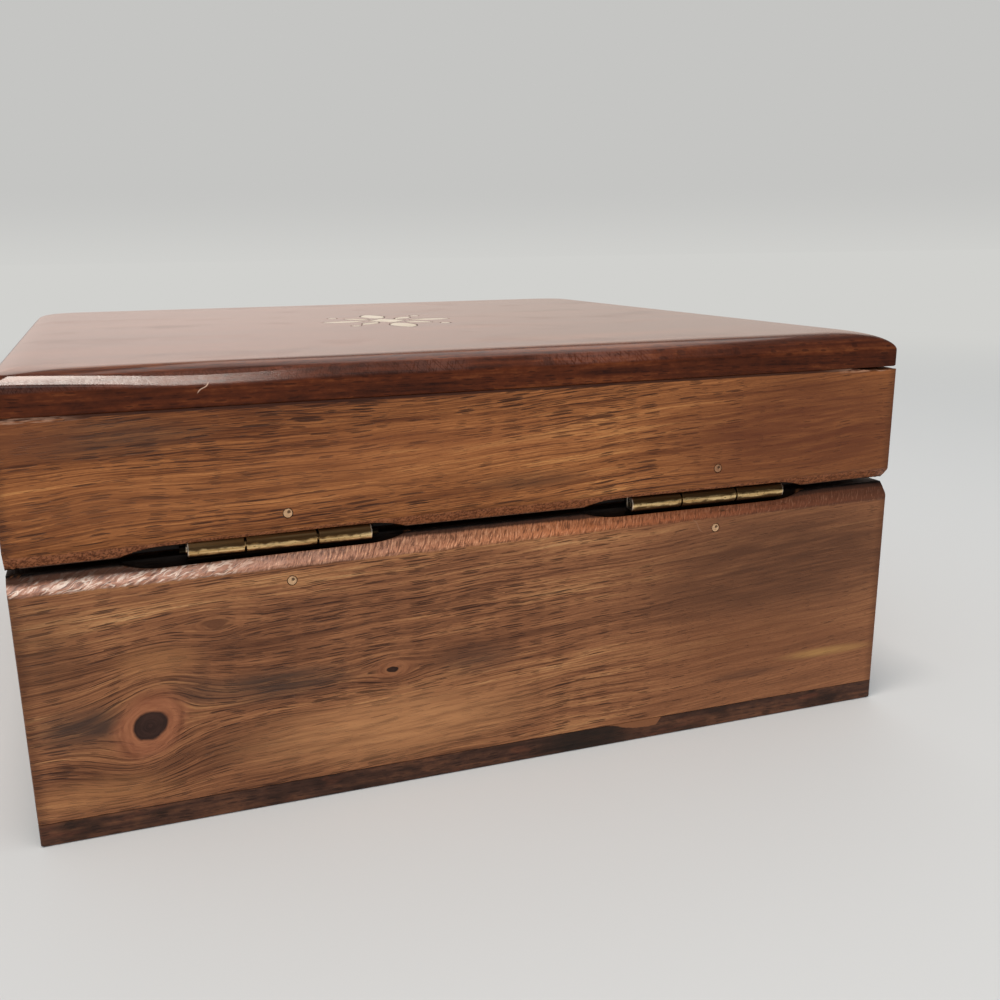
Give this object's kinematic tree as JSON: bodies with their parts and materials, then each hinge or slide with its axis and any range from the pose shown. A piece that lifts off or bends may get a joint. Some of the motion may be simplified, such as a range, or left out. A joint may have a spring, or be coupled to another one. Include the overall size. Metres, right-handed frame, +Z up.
{
  "type": "trinket box",
  "caption": "Square wooden keepsake box with a hinged lid, mitred walls, a thin dark bottom board, a rounded lid board with a small inlay, and brass barrel hinges set in saw kerfs.",
  "frame": {"origin": "on the surface that the box stands on, under the middle of the box", "axes": "+Z up, the hinges are on the +Y side and the front faces -Y, +X is the right-hand side seen from the front"},
  "size_m": [0.15, 0.15, 0.0704],
  "materials": {
    "wall_wood": "streaky mid-brown hardwood with open dark pores, thin satin oil finish",
    "bottom_wood": "dark brown stained wood, satin",
    "top_wood": "dark red-brown hardwood under a glossy clear coat",
    "hinge_brass": "aged satin brass with brown tarnish",
    "pin_brass": "bright cut ends of brass pins",
    "inlay_resin": "pale cream resin or bone, sanded flush and coated with the lid"
  },
  "bodies": {
    "base": {"bottom_board": "bottom_wood", "base_front_wall": "wall_wood", "base_right_wall": "wall_wood", "base_back_wall": "wall_wood", "base_left_wall": "wall_wood", "hinge_leaf_base_left": "hinge_brass", "hinge_leaf_base_right": "hinge_brass", "hinge_pin_left": "hinge_brass", "hinge_pin_right": "hinge_brass", "leaf_pin_base_left": "pin_brass", "leaf_pin_base_right": "pin_brass"},
    "lid": {"lid_top_board": "top_wood", "lid_front_wall": "wall_wood", "lid_right_wall": "wall_wood", "lid_back_wall": "wall_wood", "lid_left_wall": "wall_wood", "inlay_lozenge": "inlay_resin", "inlay_leaf_right": "inlay_resin", "inlay_leaf_back": "inlay_resin", "inlay_leaf_left": "inlay_resin", "inlay_leaf_front": "inlay_resin", "inlay_leaf_back_right": "inlay_resin", "inlay_dot_back_right": "inlay_resin", "inlay_leaf_back_left": "inlay_resin", "inlay_dot_back_left": "inlay_resin", "inlay_leaf_front_left": "inlay_resin", "inlay_dot_front_left": "inlay_resin", "inlay_leaf_front_right": "inlay_resin", "inlay_dot_front_right": "inlay_resin", "hinge_leaf_lid_left": "hinge_brass", "hinge_leaf_lid_right": "hinge_brass", "leaf_pin_lid_left": "pin_brass", "leaf_pin_lid_right": "pin_brass"}
  },
  "joints": [
    {"name": "lid_hinge", "type": "hinge", "parent": "base", "child": "lid", "pos_m": [0, 0.0731, 0.04325], "axis": [-1, 0, 0], "range_deg": [0, 110]}
  ]
}
